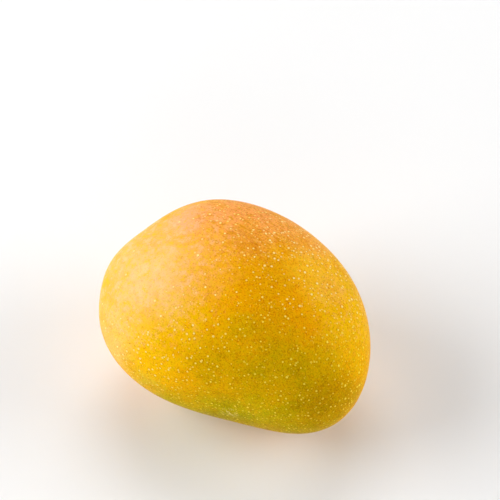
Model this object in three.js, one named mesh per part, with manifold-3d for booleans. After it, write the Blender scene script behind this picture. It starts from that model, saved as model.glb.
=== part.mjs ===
// A ripe mango, one solid fruit, lying on its cheek on a small flat spot.
// Millimetres. +X runs from the stem end to the tip, +Y to the fruit's back, +Z up.
// The origin is under the middle of the fruit, in the plane that it rests on.
import * as THREE from "three";
import { mergeVertices } from "three/addons/utils/BufferGeometryUtils.js";
import Module from "manifold-3d";

const SKIN_COLOUR = 0xdc9d1e;
const SKIN_ROUGHNESS = 0.45;

// The body before its swells and hollows: an egg with a bowed and leaning middle line
const CORE_LENGTH = 92;
const CORE_WIDTH = 70; // back to belly
const CORE_THICKNESS = 67; // cheek to cheek
const WIDTH_TAPER = 0.08; // the share by which the width shrinks at the tip and grows at the stem
const THICKNESS_TAPER = 0.02;
const END_FULLNESS = 0.11; // rounder ends than an ellipse has
const SQUARENESS = 0.02; // cheeks a little flatter than an ellipse has
const BOW = 2.5; // how far the middle line arches towards the back
const BOW_LEVEL = 0.4; // where along the half length the arched line crosses the straight one, squared
const LEAN = 4; // how far the tip lies nearer the back than the stem does, halved

// Swells and hollows. fromStem and around say where each lies, in degrees: fromStem is 0 at the
// stem and 180 at the tip, and around is 0 on the back, 90 on the upper cheek and 180 on the belly.
// height is in millimetres, negative for a hollow, and spread is in radians.
const FORMS = [
  { name: "belly shoulder", fromStem: 79, around: 180, height: 6.75, spread: 0.62 },
  { name: "back shoulder", fromStem: 42, around: 0, height: 1.5, spread: 0.55 },
  { name: "sinus above the beak", fromStem: 118, around: 180, height: -3.7, spread: 0.35 },
  { name: "nose at the tip", fromStem: 157, around: 180, height: 7.75, spread: 0.42 },
  { name: "flattened stem end", fromStem: 5, around: 0, height: -4.25, spread: 0.38 },
  { name: "rim beside the stem", fromStem: 34, around: 125, height: 2, spread: 0.22 },
  { name: "stem basin", fromStem: 0, around: 0, height: -1.6, spread: 0.13 },
  { name: "beak", fromStem: 115, around: 185, height: 0.6, spread: 0.07 },
];

// The dry scar that the stalk leaves in the basin: a low woody button
const SCAR_HEIGHT = 1.3;
const SCAR_TOP = 0.05; // radians from the stem
const SCAR_FOOT = 0.066;

// How the fruit settles on its lower cheek, in degrees, and how much of that cheek is pressed flat
const REST_ROLL = 5.5;
const REST_PITCH = 3;
const FLAT_DEPTH = 0.5;

// Facets
const AROUND_STEPS = 64;
const RING_STEPS = 36;
const RING_GROWTH = 1.35; // rings lie closer together near the stem, where the form is finer

const radians = THREE.MathUtils.degToRad;

// The unit vector that points at a place on the skin.
function bearing(fromStem, around) {
  const side = Math.sin(fromStem);
  return new THREE.Vector3(-Math.cos(fromStem), side * Math.cos(around), side * Math.sin(around));
}

const swells = FORMS.map((form) => ({
  ...form,
  towards: bearing(radians(form.fromStem), radians(form.around)),
}));

// A point of the skin, before the fruit is laid down.
function skinPoint(fromStem, around) {
  const out = bearing(fromStem, around);
  const along = out.x;
  const fullness = 1 + END_FULLNESS * along * along;
  const square = 1 + SQUARENESS * Math.sin(2 * around) ** 2;
  const point = new THREE.Vector3(
    (CORE_LENGTH / 2) * along,
    (CORE_WIDTH / 2) * out.y * (fullness - WIDTH_TAPER * along) * square
      - BOW * (along * along - BOW_LEVEL)
      + LEAN * along,
    (CORE_THICKNESS / 2) * out.z * (fullness - THICKNESS_TAPER * along) * square,
  );
  for (const { towards, height, spread } of swells) {
    point.addScaledVector(out, height * Math.exp((out.dot(towards) - 1) / spread ** 2));
  }
  const scar = 1 - THREE.MathUtils.smoothstep(fromStem, SCAR_TOP, SCAR_FOOT);
  return point.addScaledVector(out, SCAR_HEIGHT * scar);
}

// The rings of facets, as angles from the stem: three on the scar, then wider and wider to the tip.
function ringAngles() {
  const angles = [SCAR_TOP / 2, SCAR_TOP, SCAR_FOOT];
  for (let i = 1; i < RING_STEPS; i += 1) {
    angles.push(SCAR_FOOT + (Math.PI - SCAR_FOOT) * (i / RING_STEPS) ** RING_GROWTH);
  }
  return angles;
}

// The whole skin as one closed surface, with a fan of facets at the stem and another at the tip.
function skinGeometry() {
  const rings = ringAngles();
  const positions = [...skinPoint(0, 0)];
  for (const fromStem of rings) {
    for (let j = 0; j < AROUND_STEPS; j += 1) {
      positions.push(...skinPoint(fromStem, (2 * Math.PI * j) / AROUND_STEPS));
    }
  }
  positions.push(...skinPoint(Math.PI, 0));
  const tip = positions.length / 3 - 1;
  const at = (ring, j) => 1 + ring * AROUND_STEPS + (j % AROUND_STEPS);
  const faces = [];
  for (let j = 0; j < AROUND_STEPS; j += 1) {
    faces.push(0, at(0, j + 1), at(0, j));
    for (let ring = 1; ring < rings.length; ring += 1) {
      faces.push(at(ring - 1, j), at(ring - 1, j + 1), at(ring, j));
      faces.push(at(ring - 1, j + 1), at(ring, j + 1), at(ring, j));
    }
    faces.push(at(rings.length - 1, j), at(rings.length - 1, j + 1), tip);
  }
  const geometry = new THREE.BufferGeometry();
  geometry.setAttribute("position", new THREE.Float32BufferAttribute(positions, 3));
  geometry.setIndex(faces);
  return geometry;
}

// Turns a closed geometry into a solid that can be cut.
function solidOf(wasm, geometry) {
  const bare = geometry.clone();
  bare.deleteAttribute("normal");
  bare.deleteAttribute("uv");
  const merged = mergeVertices(bare, 1e-4);
  return new wasm.Manifold(
    new wasm.Mesh({
      numProp: 3,
      vertProperties: new Float32Array(merged.attributes.position.array),
      triVerts: new Uint32Array(merged.index.array),
    }),
  );
}

// The skin laid on its cheek, with the part below the resting plane cut away.
async function restingGeometry() {
  const wasm = await Module();
  wasm.setup();
  const fruit = skinGeometry();
  const laid = new THREE.Matrix4()
    .makeRotationY(radians(REST_PITCH))
    .multiply(new THREE.Matrix4().makeRotationX(radians(REST_ROLL)));
  fruit.applyMatrix4(laid);
  fruit.computeBoundingBox();
  const floor = fruit.boundingBox.min.z + FLAT_DEPTH;
  const below = new THREE.BoxGeometry(CORE_LENGTH, CORE_LENGTH, CORE_LENGTH);
  below.translate(0, 0, floor - CORE_LENGTH / 2);
  const { vertProperties, triVerts } = solidOf(wasm, fruit).subtract(solidOf(wasm, below)).getMesh();
  const geometry = new THREE.BufferGeometry();
  geometry.setAttribute("position", new THREE.BufferAttribute(vertProperties, 3));
  geometry.setIndex(new THREE.BufferAttribute(triVerts, 1));
  geometry.computeVertexNormals();
  return geometry;
}

async function makeMango() {
  const geometry = await restingGeometry();
  const skin = new THREE.MeshStandardMaterial({
    color: SKIN_COLOUR,
    roughness: SKIN_ROUGHNESS,
    metalness: 0,
  });
  const mango = new THREE.Mesh(geometry, skin);
  mango.name = "mango";
  geometry.computeBoundingBox();
  const { min, max } = geometry.boundingBox;
  mango.position.set(-(min.x + max.x) / 2, -(min.y + max.y) / 2, -min.z);
  return mango;
}

const group = new THREE.Group();
group.add(await makeMango());

export default group;
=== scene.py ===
"""A ripe mango on a pale floor: its skin, its colours and the light on it. Metres."""

import math

import bpy
import numpy as np
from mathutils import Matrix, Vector, noise


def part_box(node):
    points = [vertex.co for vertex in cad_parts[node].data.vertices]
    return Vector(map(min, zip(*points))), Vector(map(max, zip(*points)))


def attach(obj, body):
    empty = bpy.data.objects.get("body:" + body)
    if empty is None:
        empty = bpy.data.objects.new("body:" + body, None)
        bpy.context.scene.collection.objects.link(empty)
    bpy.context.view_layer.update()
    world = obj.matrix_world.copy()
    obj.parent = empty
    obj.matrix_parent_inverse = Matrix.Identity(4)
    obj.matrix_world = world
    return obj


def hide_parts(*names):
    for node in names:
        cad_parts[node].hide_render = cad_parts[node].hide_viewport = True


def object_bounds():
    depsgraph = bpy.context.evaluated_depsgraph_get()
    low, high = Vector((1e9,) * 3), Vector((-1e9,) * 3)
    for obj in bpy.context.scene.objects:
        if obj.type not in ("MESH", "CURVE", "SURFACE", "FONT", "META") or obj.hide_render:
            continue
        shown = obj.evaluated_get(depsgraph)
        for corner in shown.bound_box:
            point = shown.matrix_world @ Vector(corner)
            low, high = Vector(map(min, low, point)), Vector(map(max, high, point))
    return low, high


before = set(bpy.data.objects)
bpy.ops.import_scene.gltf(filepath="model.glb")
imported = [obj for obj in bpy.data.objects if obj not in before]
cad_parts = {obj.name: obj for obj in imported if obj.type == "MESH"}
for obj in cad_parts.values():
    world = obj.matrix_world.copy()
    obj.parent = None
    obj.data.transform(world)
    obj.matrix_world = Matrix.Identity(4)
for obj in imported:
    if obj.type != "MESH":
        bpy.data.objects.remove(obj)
cad_low, cad_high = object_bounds()

MM = 0.001

# The fruit's form, in millimetres, with the values that its solid has
CORE_LENGTH = 92
CORE_WIDTH = 70
CORE_THICKNESS = 67
WIDTH_TAPER = 0.08
THICKNESS_TAPER = 0.02
END_FULLNESS = 0.11
SQUARENESS = 0.02
BOW = 2.5
BOW_LEVEL = 0.4
LEAN = 4
FORMS = [
    # from the stem, around from the back over the upper cheek (degrees), height, spread (radians)
    (79, 180, 6.75, 0.62),  # belly shoulder
    (42, 0, 1.5, 0.55),  # back shoulder
    (118, 180, -3.7, 0.35),  # sinus above the beak
    (157, 180, 7.75, 0.42),  # nose at the tip
    (5, 0, -4.25, 0.38),  # flattened stem end
    (34, 125, 2, 0.22),  # rim beside the stem
    (0, 0, -1.6, 0.13),  # stem basin
    (115, 185, 0.6, 0.07),  # beak
]
REST_ROLL = 5.5
REST_PITCH = 3

# The dry scar of the stalk: a low woody button with a dished top and a ragged rim. Its height and
# depth are in millimetres, its top and foot in radians from the stem, and the waves of its two
# noises in radians too.
SCAR_HEIGHT = 1.3
SCAR_TOP = 0.05
SCAR_FOOT = 0.066
RIM_STRAY = 0.16  # a share of the way from the middle
RIM_WAVES = 0.02
DISH_DEPTH = 0.55
DISH_FLOOR = 0.2  # a share of the button's top
DISH_RIM = 0.85  # a share of the button's top
DISH_UNEVEN = 0.5  # a share of its depth
DISH_WAVES = 0.012

# What the solid leaves out of the skin: soft dents a few centimetres wide, and the leathery
# surface between the pores. Both lie below the solid's surface.
DENT_DEPTH = 0.30
DENT_WIDTH = 17
LEATHER_DEPTH = 0.035
LEATHER_WIDTH = 2.6

# What sets the noise of each relief apart
DENT_SEED = 1
LEATHER_SEED = 2
RIM_SEED = 3
DISH_SEED = 4
SEED_SHIFT = (17.3, 5.1, 29.7)

# The mesh: rings from the stem to the tip, closer together near the stem
SCAR_RINGS = 14
SCAR_RINGS_REACH = 1.25  # they go on past the scar's foot, to this many times its distance
SKIN_RINGS = 250
RING_GROWTH = 1.25
AROUND_STEPS = 320
BOX_STEPS = 360  # the smooth skin is measured in so many steps from the stem to the tip


def bearing(from_stem, around):
    """The unit vector towards a place on the skin, from angles in radians."""
    side = np.sin(from_stem)
    along = -np.cos(from_stem) + 0 * around
    return np.stack([along, side * np.cos(around), side * np.sin(around)], axis=-1)


def skin_points(from_stem, around):
    """Points of the smooth skin before the fruit is laid down, and their bearings."""
    out = bearing(from_stem, around)
    along = out[..., 0]
    fullness = 1 + END_FULLNESS * along**2
    square = 1 + SQUARENESS * np.sin(2 * around) ** 2
    width = CORE_WIDTH / 2 * (fullness - WIDTH_TAPER * along) * square
    thickness = CORE_THICKNESS / 2 * (fullness - THICKNESS_TAPER * along) * square
    middle_line = LEAN * along - BOW * (along**2 - BOW_LEVEL)
    across = width * out[..., 1] + middle_line
    points = np.stack([CORE_LENGTH / 2 * along, across, thickness * out[..., 2]], axis=-1)
    for stem_angle, round_angle, height, spread in FORMS:
        towards = bearing(np.radians(stem_angle), np.radians(round_angle))
        points += (height * np.exp((out @ towards - 1) / spread**2))[..., None] * out
    return points, out


def laid_down(points):
    """The points turned as the fruit settles on its lower cheek."""
    roll, pitch = math.radians(REST_ROLL), math.radians(REST_PITCH)
    about_x = np.array(
        [[1, 0, 0], [0, math.cos(roll), -math.sin(roll)], [0, math.sin(roll), math.cos(roll)]]
    )
    about_y = np.array(
        [[math.cos(pitch), 0, math.sin(pitch)], [0, 1, 0], [-math.sin(pitch), 0, math.cos(pitch)]]
    )
    return points @ (about_y @ about_x).T


def shift_to_frame():
    """What carries the laid fruit to its place in the frame, in millimetres."""
    from_stem = np.linspace(0, math.pi, BOX_STEPS + 1)
    around = np.linspace(0, 2 * math.pi, 2 * BOX_STEPS + 1)
    smooth, _ = skin_points(*np.meshgrid(from_stem, around, indexing="ij"))
    points = laid_down(smooth).reshape(-1, 3)
    low, high = (np.array(corner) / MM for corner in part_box("mango"))
    shift = (low + high) / 2 - (points.min(axis=0) + points.max(axis=0)) / 2
    shift[2] = high[2] - points[:, 2].max()
    return shift


TO_FRAME = shift_to_frame()


def place_on_skin(from_stem, around):
    """The place on the skin at these angles in degrees, in metres in the frame."""
    points, _ = skin_points(np.radians(from_stem), np.radians(around))
    return Vector((laid_down(points) + TO_FRAME) * MM)


def smoothstep(value, low, high):
    t = np.clip((value - low) / (high - low), 0, 1)
    return t * t * (3 - 2 * t)


def noise_at(points, width, seed):
    """Smooth noise from about -1 to 1 at each point, with waves of that width."""
    shift = Vector([seed * step for step in SEED_SHIFT])
    values = [noise.noise(Vector(point) + shift) for point in points / width]
    return np.array(values)


def scar_relief(from_stem, out):
    """How far the woody button stands above the skin, in millimetres."""
    from_middle = from_stem * (1 + RIM_STRAY * noise_at(out, RIM_WAVES, RIM_SEED))
    button = SCAR_HEIGHT * (1 - smoothstep(from_middle, SCAR_TOP, SCAR_FOOT))
    dish = DISH_DEPTH * (1 - smoothstep(from_middle, DISH_FLOOR * SCAR_TOP, DISH_RIM * SCAR_TOP))
    return button - dish * (1 + DISH_UNEVEN * noise_at(out, DISH_WAVES, DISH_SEED))


def ring_angles():
    scar = np.linspace(0, SCAR_FOOT * SCAR_RINGS_REACH, SCAR_RINGS + 1)[1:]
    share = np.arange(1, SKIN_RINGS) / SKIN_RINGS
    skin = scar[-1] + (math.pi - scar[-1]) * share**RING_GROWTH
    return np.concatenate([scar, skin])


def skin_faces(rings):
    """Four-sided faces between the rings, with a fan at the stem and another at the tip."""
    faces = []
    tip = 1 + rings * AROUND_STEPS
    last = tip - AROUND_STEPS
    for step in range(AROUND_STEPS):
        after = (step + 1) % AROUND_STEPS
        faces.append((0, 1 + after, 1 + step))
        for here in range(1, last, AROUND_STEPS):
            there = here + AROUND_STEPS
            faces.append((here + step, here + after, there + after, there + step))
        faces.append((last + step, last + after, tip))
    return faces


def mango_mesh():
    """The whole skin as one closed mesh."""
    rings = ring_angles()
    steps = np.linspace(0, 2 * math.pi, AROUND_STEPS, endpoint=False)
    from_stem, around = np.meshgrid(rings, steps, indexing="ij")
    from_stem = np.concatenate([[0], from_stem.ravel(), [math.pi]])
    around = np.concatenate([[0], around.ravel(), [0]])
    smooth, out = skin_points(from_stem, around)
    relief = scar_relief(from_stem, out)
    relief -= DENT_DEPTH * (0.5 + 0.5 * noise_at(smooth, DENT_WIDTH, DENT_SEED))
    relief -= LEATHER_DEPTH * (0.5 + 0.5 * noise_at(smooth, LEATHER_WIDTH, LEATHER_SEED))
    points = laid_down(smooth + relief[:, None] * out) + TO_FRAME
    points[:, 2] = np.maximum(points[:, 2], 0)  # the flat spot that it rests on
    mesh = bpy.data.meshes.new("mango_skin")
    mesh.from_pydata((points * MM).tolist(), [], skin_faces(len(rings)))
    mesh.polygons.foreach_set("use_smooth", [True] * len(mesh.polygons))
    mesh.update()
    return mesh


# The skin's colours, in linear light
GOLD = (0.92, 0.460, 0.001)
# Pale cream, its paleness partly a painted highlight
CREAM_AND_HIGHLIGHT = (0.98, 0.575, 0.195)
# The painted highlight at its brightest
PALE_HIGHLIGHT = (1.00, 0.640, 0.270)
# Peach, paler with a painted sheen
PEACH_AND_SHEEN = (0.98, 0.460, 0.095)
STRAW = (0.98, 0.550, 0.003)
# A painted sheen, where the light from the right falls
PAINTED_SHEEN = (1.00, 0.545, 0.028)
ORANGE = (0.90, 0.385, 0.001)
AMBER = (0.72, 0.345, 0.001)
RUSSET = (0.76, 0.275, 0.006)
# Blush, paler with a painted sheen
BLUSH_AND_SHEEN = (1.00, 0.380, 0.115)
# Pink, its paleness a painted highlight
PINK_AND_HIGHLIGHT = (1.00, 0.500, 0.340)
OLIVE = (0.61, 0.400, 0.001)
BRONZE = (0.54, 0.290, 0.001)
GREEN = (0.57, 0.455, 0.001)
LIME = (0.80, 0.540, 0.030)
# Moss green, darkened as painted shade on the underside
MOSS_AND_SHADE = (0.46, 0.350, 0.001)
# A pale bloom with a painted sheen in it
BLOOM_AND_SHEEN = (1.00, 0.620, 0.340)
LENTICEL = (1.00, 0.840, 0.320)
WARM_LENTICEL = (1.00, 0.800, 0.072)
SPECK = (0.46, 0.170, 0.010)
WOOD = (0.045, 0.025, 0.012)
BARK = (0.20, 0.120, 0.055)
CORK = (0.36, 0.210, 0.080)
BEAK_FLECK = (0.84, 0.640, 0.170)

# Tints: the skin's colour is multiplied with them
DUSKY_TINT = (0.88, 0.92, 0.84)
BROWN_TINT = (0.90, 0.79, 0.64)
WARM_TINT = (1.00, 0.87, 0.70)
GREENISH_TINT = (0.90, 1.00, 0.75)
GRAIN_TINT = (0.76, 0.59, 0.38)
RING_TINT = (0.86, 0.74, 0.55)

# Where each colour lies: colour, from the stem, around (degrees), reach (millimetres), strength.
# Each zone is laid over those before it.
ZONES = [
    # The belly shoulder
    (STRAW, 78, 152, 28, 0.95),
    (STRAW, 92, 128, 9, 0.35),
    # The upper side of the tip
    (STRAW, 152, 76, 20, 0.70),
    # A band along the upper cheek
    (ORANGE, 86, 90, 26, 0.75),
    (ORANGE, 108, 98, 21, 0.65),
    (ORANGE, 126, 100, 15, 0.60),
    # The far side of the cheek, with a painted sheen where the light from the right falls on it
    (PAINTED_SHEEN, 117, 60, 17, 0.80),
    (STRAW, 138, 62, 18, 0.70),
    (OLIVE, 128, 30, 15, 0.22),
    (PEACH_AND_SHEEN, 127, 63, 8, 0.35),
    # The darkest ripeness, in the middle of the cheek
    (AMBER, 103, 92, 15, 0.60),
    (AMBER, 119, 114, 13, 0.80),
    (ORANGE, 129, 106, 9, 0.50),
    # The lower cheek and the nose
    (OLIVE, 110, 150, 19, 0.50),
    (OLIVE, 107, 120, 8, 0.50),
    (OLIVE, 136, 140, 25, 0.75),
    (OLIVE, 154, 150, 20, 0.50),
    (BRONZE, 157, 152, 15, 0.72),
    (BRONZE, 170, 160, 10, 0.60),
    # Round the beak
    (GREEN, 116, 184, 20, 1.00),
    (GREEN, 93, 204, 22, 0.90),
    (GREEN, 134, 184, 17, 0.75),
    (GREEN, 82, 187, 9, 0.50),
    (GOLD, 112, 163, 10, 0.45),
    # A pale edge below the belly shoulder
    (LIME, 70, 174, 9, 0.60),
    (LIME, 80, 182, 10, 0.80),
    # Below the beak, dark moss green that is partly painted shade on the underside
    (MOSS_AND_SHADE, 112, 200, 15, 0.80),
    (MOSS_AND_SHADE, 132, 201, 15, 0.80),
    (MOSS_AND_SHADE, 148, 195, 13, 0.70),
    # The end beside the stem: pale cream, peach and pink that hold a painted highlight
    (CREAM_AND_HIGHLIGHT, 53, 120, 29, 1.00),
    (CREAM_AND_HIGHLIGHT, 56, 168, 18, 0.65),
    (PEACH_AND_SHEEN, 38, 134, 15, 0.60),
    (PEACH_AND_SHEEN, 44, 88, 16, 0.60),
    (PEACH_AND_SHEEN, 66, 84, 15, 0.60),
    (PEACH_AND_SHEEN, 80, 106, 15, 0.35),
    (PINK_AND_HIGHLIGHT, 57, 71, 14, 0.70),
    (PALE_HIGHLIGHT, 63, 123, 9, 0.60),
    (GOLD, 42, 146, 8, 0.30),
    # The blush on the back shoulder, paler where it holds a painted sheen
    (BLUSH_AND_SHEEN, 72, 56, 26, 0.95),
    (BLUSH_AND_SHEEN, 98, 46, 17, 0.55),
    (RUSSET, 85, 76, 10, 0.55),
    # The side that it lies on
    (OLIVE, 150, 215, 28, 0.60),
    (GREEN, 105, 235, 22, 0.45),
    (CREAM_AND_HIGHLIGHT, 62, 285, 34, 0.45),
    # The back near the stem, with a second faint blush
    (ORANGE, 60, 330, 24, 0.60),
    (BLUSH_AND_SHEEN, 38, 20, 16, 0.60),
]
ZONE_CORE = 0.30  # the share of its reach within which a zone has its full strength
EDGE_DRIFT = 0.50  # how far the edge of a zone drifts, as a share of its reach
EDGE_GRAIN = 0.30  # how grainy that edge is, as a share of its reach

# Noise on the skin: the width of its waves (millimetres), its detail and its roughness
DRIFT = (14, 2, 0.5)
EDGES = (0.9, 2, 0.6)
RIPENESS = (8, 1, 0.5)
MOTTLE = (3.0, 3, 0.55)
HUES = (1.3, 5, 0.8)
STREAKS = (1.0, 3, 0.6)
CLOUDS = (2.6, 5, 0.78)
GRAIN = (0.55, 2, 0.7)
SCAR_EDGE = (1.1, 3, 0.5)
FLAKES = (0.5, 5, 0.75)
FLECKS = (0.9, 3, 0.7)
STREAK_STRETCH = 0.4  # the streaks are this much finer across than along

# What a noise leaves on the skin: the level where it begins, where it is full, and its strength
ORANGE_PATCHES = (0.50, 0.68, 1.0)
DUSKY_PATCHES = (0.52, 0.34, 1.0)
BROWN_MOTTLES = (0.50, 0.66, 0.50)
WARM_HUES = (0.50, 0.62, 0.90)
GREENISH_HUES = (0.50, 0.38, 0.90)
RUSSET_STREAKS = (0.49, 0.62, 0.70)
FLUSHED_STREAKS = (0.48, 0.36, 0.38)
# Clouds of pale bloom with a painted sheen in them
BLOOM_AND_SHEEN_CLOUDS = (0.50, 0.62, 0.50)
YELLOW_CLOUDS = (0.49, 0.38, 0.55)
DARK_GRAINS = (0.50, 0.68, 1.0)
LIGHT_GRAINS = (0.49, 0.34, 0.30)
BARK_FLAKES = (0.40, 0.60, 1.0)
BEAK_FLECKS = (0.48, 0.62, 1.0)

# How something changes away from a place on the skin: from the stem, around (degrees), a nearer
# and a farther distance (millimetres), and its value at each of the two
RUGGED = (50, 112, 10, 45, 0.40, 1.0)  # the skin beside the stem is smoother
LOWER_CHEEK = (132, 160, 18, 38, 1.0, 0.0)
BLUSH_FRINGE = (80, 62, 11, 27, 1.0, 0.0)
# The pale bloom, holding a painted highlight beside the stem and a painted sheen on the far side of
# the cheek
STEM_BLOOM_AND_SHEEN = (50, 112, 18, 41, 1.0, 0.0)
FAR_BLOOM_AND_SHEEN = (138, 58, 7, 20, 0.30, 0.0)
BEAK = (115, 185, 1.2, 4.2, 1.0, 0.0)
RIPE_STRENGTH = (0.40, 0.12)  # of the orange patches, off the lower cheek and on it

# The lenticels, which are pale pores: their density, radius (millimetres) and warmth of colour
PORE_DENSITY = [
    (50, 118, 14, 44, 0.07, 0.76),  # few beside the stem
    (104, 104, 10, 26, 0.75, 1.0),  # fewer in the middle of the cheek than round it
    (104, 104, 50, 70, 1.0, 0.70),  # and fewer on the hidden sides
    (108, 52, 10, 28, 1.12, 1.0),  # closer together on the far side of the cheek
]
PORE_RADIUS = [
    (104, 104, 18, 36, 0.47, 0.54),  # finer on the upper cheek
    (108, 52, 10, 28, 0.05, 0.0),  # larger on its far side
]
PORE_WARMTH = [
    (50, 118, 28, 52, 0.0, 1.0),
    (108, 52, 16, 36, 0.0, 1.0),
]
# Dots in cells: the spacing of the cells (millimetres) and the strength of the faintest dot
LARGE_PORES = (1.55, 0.45)
SMALL_PORES = (1.10, 0.40)
SPECKS = (3.0, 0.35)
SMALL_RADIUS = 0.28
SMALL_SHARE = 0.6  # the density of the small pores, as a share of the large ones'
SMALL_STRENGTH = 0.7
RING_STRENGTH = 0.4
SPECK_RADIUS = 0.34
SPECK_DENSITY = 0.30
SPECK_STRENGTH = 0.7
DOT_FAINTNESS = 1.3  # above 1, more of the dots are faint
DOT_SIZES = (0.72, 1.12)  # the smallest and the largest dot, as shares of the radius
DOT_CORE = 0.45  # a dot is full within this share of its radius
RING_RIM = 1.1  # its ring is full within this share, and ends at the next
RING_HALO = 2.0

# Colours of the scar by the distance from its middle: where each begins, is full, and its strength
CORK_RING = (4.8 * MM, 2.8 * MM, 0.75)
WOODY_TOP = (3.2 * MM, 2.5 * MM, 1.0)
# The middle is darker as painted shade in the dish
PAINTED_DISH_SHADE = (1.6 * MM, 0.5 * MM, 0.8)
SCAR_DRIFT = 1.6 * MM  # how far the edges between them drift

# The surface of the skin: almost no gloss, its sheen being painted into the colours, and light that
# goes a little way in
SKIN_SURFACE = {
    "IOR": 1.42,
    "Specular IOR Level": 0.013,
    "Specular Tint": (1.0, 0.72, 0.22, 1.0),
    "Subsurface Weight": 0.06,
    "Subsurface Radius": (1.0, 0.5, 0.12),
    "Subsurface Scale": 3 * MM,
}
ROUGHNESS = (0.33, 0.42)
ROUGH_MOTTLE = (0.3, 0.7)  # the levels of the mottling that have the two roughnesses
WOOD_ROUGHER = 0.4
GRAIN_RELIEF = 0.02  # millimetres
PORE_RELIEF = 0.03  # millimetres
RELIEF_STRENGTH = 0.35


class Nodes:
    """Short calls that add shader nodes to one material or world and join them."""

    def __init__(self, owner):
        owner.use_nodes = True
        self.tree = owner.node_tree
        self.tree.nodes.clear()

    def add(self, kind, **settings):
        node = self.tree.nodes.new(kind)
        for name, value in settings.items():
            setattr(node, name, value)
        return node

    def join(self, value, socket):
        """Links an output to a socket, or sets the socket's own value."""
        if isinstance(value, bpy.types.NodeSocket):
            self.tree.links.new(value, socket)
        else:
            socket.default_value = value

    def maths(self, operation, *values):
        node = self.add("ShaderNodeMath", operation=operation)
        for value, socket in zip(values, node.inputs):
            self.join(value, socket)
        return node.outputs[0]

    def times(self, first, second):
        return self.maths("MULTIPLY", first, second)

    def remap(self, value, low, high, to_low=0.0, to_high=1.0, smooth=True):
        """The value carried from low..high to to_low..to_high, held at both ends."""
        node = self.add("ShaderNodeMapRange", interpolation_type="SMOOTHSTEP" if smooth else "LINEAR")
        for given, socket in zip((value, low, high, to_low, to_high), node.inputs):
            self.join(given, socket)
        return node.outputs["Result"]

    def mark(self, value, begins, full, strength):
        """A mask that rises from 0 to that strength between two levels of the value."""
        return self.remap(value, begins, full, 0.0, strength)

    def mix(self, factor, first, second, blend="MIX"):
        node = self.add("ShaderNodeMix", data_type="RGBA", blend_type=blend)
        self.join(factor, node.inputs["Factor"])
        self.join(first, node.inputs["A"])
        self.join(second, node.inputs["B"])
        return node.outputs["Result"]

    def tint(self, factor, colour, tint):
        return self.mix(factor, colour, rgba(tint), "MULTIPLY")

    def noise(self, place, width, detail, roughness):
        """Noise with waves of that width in millimetres."""
        node = self.add("ShaderNodeTexNoise")
        self.join(place, node.inputs["Vector"])
        node.inputs["Scale"].default_value = 1 / (width * MM)
        node.inputs["Detail"].default_value = detail
        node.inputs["Roughness"].default_value = roughness
        return node.outputs["Fac"]

    def swing(self, place, width, detail, roughness):
        """The same noise about 0 in place of about a half."""
        return self.maths("SUBTRACT", self.noise(place, width, detail, roughness), 0.5)

    def distance(self, place, point):
        node = self.add("ShaderNodeVectorMath", operation="DISTANCE")
        self.join(place, node.inputs[0])
        node.inputs[1].default_value = point
        return node.outputs["Value"]

    def fade(self, place, from_stem, around, near, far, near_value, far_value):
        """A value that changes between two distances in millimetres from a place on the skin."""
        away = self.distance(place, place_on_skin(from_stem, around))
        return self.remap(away, near * MM, far * MM, near_value, far_value)

    def fades(self, operation, place, rows):
        """Several such values joined by one operation."""
        joined = self.fade(place, *rows[0])
        for row in rows[1:]:
            joined = self.maths(operation, joined, self.fade(place, *row))
        return joined


def rgba(colour):
    return (*colour, 1.0)


def zoned_colour(n, place):
    """The broad colours of the skin, which run into each other along grainy edges."""
    drift = n.times(n.swing(place, *DRIFT), EDGE_DRIFT)
    grain = n.times(n.swing(place, *EDGES), EDGE_GRAIN)
    wander = n.maths("ADD", drift, grain)
    colour = rgba(GOLD)
    for zone_colour, from_stem, around, reach, strength in ZONES:
        away = n.distance(place, place_on_skin(from_stem, around))
        away = n.maths("ADD", away, n.times(wander, reach * MM))
        mask = n.mark(away, reach * MM, ZONE_CORE * reach * MM, strength)
        colour = n.mix(mask, colour, rgba(zone_colour))
    return colour


def mottled(n, place, colour):
    """Patches of ripeness, mottling and a fine play of warmer and greener yellow."""
    rugged = n.fade(place, *RUGGED)
    lower_cheek = n.fade(place, *LOWER_CHEEK)
    ripeness = n.noise(place, *RIPENESS)
    ripe = n.times(n.remap(lower_cheek, 0.0, 1.0, *RIPE_STRENGTH), rugged)
    orange = n.times(n.mark(ripeness, *ORANGE_PATCHES), ripe)
    colour = n.mix(orange, colour, rgba(ORANGE))
    dusky = n.times(n.mark(ripeness, *DUSKY_PATCHES), lower_cheek)
    colour = n.tint(dusky, colour, DUSKY_TINT)
    mottle = n.noise(place, *MOTTLE)
    brown = n.times(n.mark(mottle, *BROWN_MOTTLES), rugged)
    colour = n.tint(brown, colour, BROWN_TINT)
    hue = n.noise(place, *HUES)
    colour = n.tint(n.mark(hue, *WARM_HUES), colour, WARM_TINT)
    colour = n.tint(n.mark(hue, *GREENISH_HUES), colour, GREENISH_TINT)
    return colour, mottle, rugged


def streaked(n, place, colour):
    """Streaks from the stem towards the tip, where the blush runs out."""
    along = n.add("ShaderNodeVectorMath", operation="MULTIPLY")
    n.join(place, along.inputs[0])
    along.inputs[1].default_value = (STREAK_STRETCH, 1, 1)
    streak = n.noise(along.outputs["Vector"], *STREAKS)
    blushing = n.fade(place, *BLUSH_FRINGE)
    russet = n.times(n.mark(streak, *RUSSET_STREAKS), blushing)
    colour = n.mix(russet, colour, rgba(RUSSET))
    flushed = n.times(n.mark(streak, *FLUSHED_STREAKS), blushing)
    return n.mix(flushed, colour, rgba(PEACH_AND_SHEEN))


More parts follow.
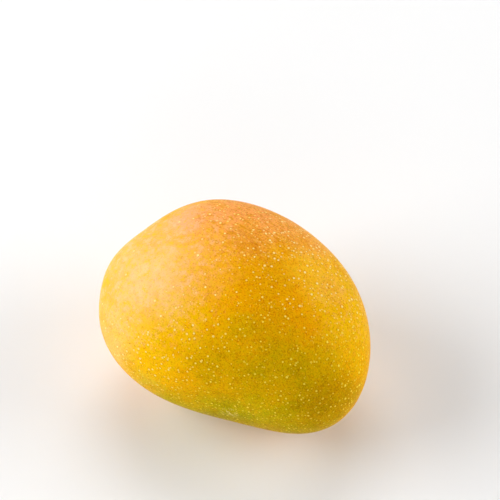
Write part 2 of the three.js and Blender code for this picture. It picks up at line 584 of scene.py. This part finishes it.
def bloomed_and_sheened(n, place, colour):
    """A pale bloom over yellow with a painted sheen in it, beside the stem and, fainter, on the far
    side of the cheek.
    """
    pale = n.maths("MAXIMUM", n.fade(place, *STEM_BLOOM_AND_SHEEN), n.fade(place, *FAR_BLOOM_AND_SHEEN))
    cloud = n.noise(place, *CLOUDS)
    bloom_and_sheen = n.times(n.mark(cloud, *BLOOM_AND_SHEEN_CLOUDS), pale)
    colour = n.mix(bloom_and_sheen, colour, rgba(BLOOM_AND_SHEEN))
    yellow = n.times(n.mark(cloud, *YELLOW_CLOUDS), pale)
    return n.mix(yellow, colour, rgba(STRAW))


def grained(n, colour, grain, rugged):
    dark = n.times(n.mark(grain, *DARK_GRAINS), rugged)
    colour = n.tint(dark, colour, GRAIN_TINT)
    light = n.times(n.mark(grain, *LIGHT_GRAINS), rugged)
    return n.mix(light, colour, rgba(STRAW))


def scattered(n, place, spacing, faintest, radius, density):
    """Round dots on the skin and the rings round them, each with a strength from faintest to 1."""
    cells = n.add("ShaderNodeTexVoronoi", voronoi_dimensions="3D", feature="F1")
    n.join(place, cells.inputs["Vector"])
    cells.inputs["Scale"].default_value = 1 / (spacing * MM)
    away = n.times(cells.outputs["Distance"], spacing)
    draw = n.add("ShaderNodeSeparateColor")
    n.join(cells.outputs["Color"], draw.inputs["Color"])
    kept = n.maths("LESS_THAN", draw.outputs["Red"], density)
    strength = n.maths("POWER", draw.outputs["Green"], DOT_FAINTNESS)
    strength = n.times(n.remap(strength, 0.0, 1.0, faintest, 1.0, smooth=False), kept)
    radius = n.times(radius, n.remap(draw.outputs["Blue"], 0.0, 1.0, *DOT_SIZES, smooth=False))
    core, rim, halo = (n.times(radius, share) for share in (DOT_CORE, RING_RIM, RING_HALO))
    dot = n.times(n.remap(away, radius, core), strength)
    ring = n.times(n.remap(away, halo, rim), strength)
    return dot, ring


def pored(n, place, colour):
    """The lenticels with their faint rings, large and small, and rare dark specks."""
    density = n.fades("MULTIPLY", place, PORE_DENSITY)
    radius = n.fades("ADD", place, PORE_RADIUS)
    large, rings = scattered(n, place, *LARGE_PORES, radius, density)
    small, _ = scattered(n, place, *SMALL_PORES, SMALL_RADIUS, n.times(density, SMALL_SHARE))
    pores = n.maths("MAXIMUM", large, n.times(small, SMALL_STRENGTH))
    colour = n.tint(n.times(rings, RING_STRENGTH), colour, RING_TINT)
    warmth = n.fades("MINIMUM", place, PORE_WARMTH)
    pore_colour = n.mix(warmth, rgba(LENTICEL), rgba(WARM_LENTICEL))
    colour = n.mix(pores, colour, pore_colour)
    specks, _ = scattered(n, place, *SPECKS, SPECK_RADIUS, SPECK_DENSITY)
    colour = n.mix(n.times(specks, SPECK_STRENGTH), colour, rgba(SPECK))
    return colour, pores


def scarred(n, place, colour):
    """The woody scar of the stalk and the corky ring round it."""
    from_middle = n.distance(place, place_on_skin(0, 0))
    from_middle = n.maths("ADD", from_middle, n.times(n.swing(place, *SCAR_EDGE), SCAR_DRIFT))
    colour = n.mix(n.mark(from_middle, *CORK_RING), colour, rgba(CORK))
    flakes = n.mark(n.noise(place, *FLAKES), *BARK_FLAKES)
    bark = n.mix(flakes, rgba(WOOD), rgba(BARK))
    bark = n.mix(n.mark(from_middle, *PAINTED_DISH_SHADE), bark, rgba(WOOD))
    wood = n.mark(from_middle, *WOODY_TOP)
    return n.mix(wood, colour, bark), wood


def flecked(n, place, colour):
    """The pale flecks at the beak."""
    flecks = n.mark(n.noise(place, *FLECKS), *BEAK_FLECKS)
    return n.mix(n.times(n.fade(place, *BEAK), flecks), colour, rgba(BEAK_FLECK))


def skin_material():
    material = bpy.data.materials.new("mango_skin")
    n = Nodes(material)
    place = n.add("ShaderNodeTexCoord").outputs["Object"]
    colour, mottle, rugged = mottled(n, place, zoned_colour(n, place))
    colour = bloomed_and_sheened(n, place, streaked(n, place, colour))
    grain = n.noise(place, *GRAIN)
    colour, pores = pored(n, place, grained(n, colour, grain, rugged))
    colour, wood = scarred(n, place, colour)
    colour = flecked(n, place, colour)

    shader = n.add("ShaderNodeBsdfPrincipled")
    n.join(colour, shader.inputs["Base Color"])
    roughness = n.remap(mottle, *ROUGH_MOTTLE, *ROUGHNESS)
    n.join(n.maths("ADD", roughness, n.times(wood, WOOD_ROUGHER)), shader.inputs["Roughness"])
    for name, value in SKIN_SURFACE.items():
        shader.inputs[name].default_value = value

    height = n.maths("ADD", n.times(grain, GRAIN_RELIEF), n.times(pores, PORE_RELIEF))
    bump = n.add("ShaderNodeBump")
    bump.inputs["Strength"].default_value = RELIEF_STRENGTH
    bump.inputs["Distance"].default_value = MM
    n.join(height, bump.inputs["Height"])
    n.join(bump.outputs["Normal"], shader.inputs["Normal"])
    output = n.add("ShaderNodeOutputMaterial")
    n.join(shader.outputs["BSDF"], output.inputs["Surface"])
    return material


def make_mango():
    mango = bpy.data.objects.new("mango_skin", mango_mesh())
    bpy.context.scene.collection.objects.link(mango)
    mango.data.materials.append(skin_material())
    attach(mango, "root")
    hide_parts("mango")


# The floor and the room round it
FLOOR_SIZE = 8.0
FLOOR_COLOUR = (0.92, 0.92, 0.92)
FLOOR_CLOUD = (0.90, 0.90, 0.90)
FLOOR_NOISE = (90, 4, 0.5)  # given as the skin's noises are
FLOOR_ROUGHNESS = 0.8
FLOOR_FADE = (0.65, 1.15)  # between these distances the floor runs out into the far walls
HORIZON = 0.56  # how bright the room's far walls are
CEILING = 0.024  # and what is above them
WALL_TOP = 0.16  # where the walls end, as the sine of the angle above level
WHITE = (1.0, 1.0, 1.0)


def make_floor():
    half = FLOOR_SIZE / 2
    mesh = bpy.data.meshes.new("floor")
    corners = [(-half, -half, 0), (half, -half, 0), (half, half, 0), (-half, half, 0)]
    mesh.from_pydata(corners, [], [(0, 1, 2, 3)])
    floor = bpy.data.objects.new("floor", mesh)
    bpy.context.scene.collection.objects.link(floor)
    material = bpy.data.materials.new("pale_floor")
    n = Nodes(material)
    place = n.add("ShaderNodeTexCoord").outputs["Object"]
    shader = n.add("ShaderNodeBsdfPrincipled")
    cloudy = n.mix(n.noise(place, *FLOOR_NOISE), rgba(FLOOR_COLOUR), rgba(FLOOR_CLOUD))
    n.join(cloudy, shader.inputs["Base Color"])
    shader.inputs["Roughness"].default_value = FLOOR_ROUGHNESS
    far_floor = n.add("ShaderNodeEmission")
    n.join(rgba(WHITE), far_floor.inputs["Color"])
    far_floor.inputs["Strength"].default_value = HORIZON
    floor_shader = n.add("ShaderNodeMixShader")
    fading = n.remap(n.distance(place, (0, 0, 0)), *FLOOR_FADE)
    parts = (fading, shader.outputs["BSDF"], far_floor.outputs["Emission"])
    for part, socket in zip(parts, floor_shader.inputs):
        n.join(part, socket)
    output = n.add("ShaderNodeOutputMaterial")
    n.join(floor_shader.outputs["Shader"], output.inputs["Surface"])
    mesh.materials.append(material)


def direction(azimuth, elevation):
    """From the fruit towards that azimuth and elevation in degrees; azimuth 0 is the -Y side."""
    a, e = math.radians(azimuth), math.radians(elevation)
    return Vector((math.sin(a) * math.cos(e), -math.cos(a) * math.cos(e), math.sin(e)))


# The camera: angles in degrees, distances in metres, the sensor in millimetres
VIEW_AZIMUTH = 38.76
VIEW_ELEVATION = 55
VIEW_DISTANCE = 0.8
FOCAL_PIXELS = 2320.35
PICTURE_SIDE = 500
SENSOR_WIDTH = 36
FRUIT_MIDDLE_PIXEL = (245.53, 323.13)
PRESSED = 0.25 * MM  # the flat spot raises the middle of the fruit's box by this much
CLIP_START = 0.01
CLIP_END = 50


def make_camera():
    low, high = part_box("mango")
    middle = (Vector(low) + Vector(high)) / 2 - Vector((0, 0, PRESSED))
    back = direction(VIEW_AZIMUTH, VIEW_ELEVATION)
    right = direction(VIEW_AZIMUTH + 90, 0)
    up = back.cross(right)
    eye = middle + back * VIEW_DISTANCE
    per_pixel = VIEW_DISTANCE / FOCAL_PIXELS
    half = PICTURE_SIDE / 2
    target = middle + right * (half - FRUIT_MIDDLE_PIXEL[0]) * per_pixel
    target += up * (FRUIT_MIDDLE_PIXEL[1] - half) * per_pixel
    data = bpy.data.cameras.new("camera")
    data.sensor_width = SENSOR_WIDTH
    data.lens = FOCAL_PIXELS * SENSOR_WIDTH / PICTURE_SIDE
    data.clip_start = CLIP_START
    data.clip_end = CLIP_END
    camera = bpy.data.objects.new("camera", data)
    camera.location = eye
    camera.rotation_euler = (target - eye).to_track_quat("-Z", "Y").to_euler()
    bpy.context.scene.collection.objects.link(camera)
    bpy.context.scene.camera = camera


# Softboxes: name, azimuth, elevation (degrees), distance, side (metres), power (watts)
SOFTBOXES = [
    ("key_light", -51, 30, 1.2, 1.0, 15.6),
    ("right_light", 129, 25, 1.2, 0.8, 9.0),
    ("back_light", 219, 50, 1.2, 0.8, 6.6),
    ("front_light", 39, 15, 1.2, 0.8, 2.7),
]


def make_light():
    middle = Vector((0, 0, cad_high[2] / 2))
    for name, azimuth, elevation, distance, side, power in SOFTBOXES:
        data = bpy.data.lights.new(name, "AREA")
        data.shape = "SQUARE"
        data.size = side
        data.energy = power
        lamp = bpy.data.objects.new(name, data)
        towards = direction(azimuth, elevation)
        lamp.location = middle + towards * distance
        lamp.rotation_euler = (-towards).to_track_quat("-Z", "Y").to_euler()
        lamp.visible_camera = False
        bpy.context.scene.collection.objects.link(lamp)


def make_room():
    """The dim room round the softboxes, with pale walls low down, which side views show."""
    world = bpy.data.worlds.new("studio")
    n = Nodes(world)
    towards = n.add("ShaderNodeSeparateXYZ")
    n.join(n.add("ShaderNodeTexCoord").outputs["Generated"], towards.inputs["Vector"])
    background = n.add("ShaderNodeBackground")
    n.join(rgba(WHITE), background.inputs["Color"])
    brightness = n.remap(towards.outputs["Z"], 0.0, WALL_TOP, HORIZON, CEILING)
    n.join(brightness, background.inputs["Strength"])
    output = n.add("ShaderNodeOutputWorld")
    n.join(background.outputs["Background"], output.inputs["Surface"])
    bpy.context.scene.world = world


make_camera()
make_mango()
make_floor()
make_light()
make_room()
bpy.context.scene.view_settings.view_transform = "Standard"
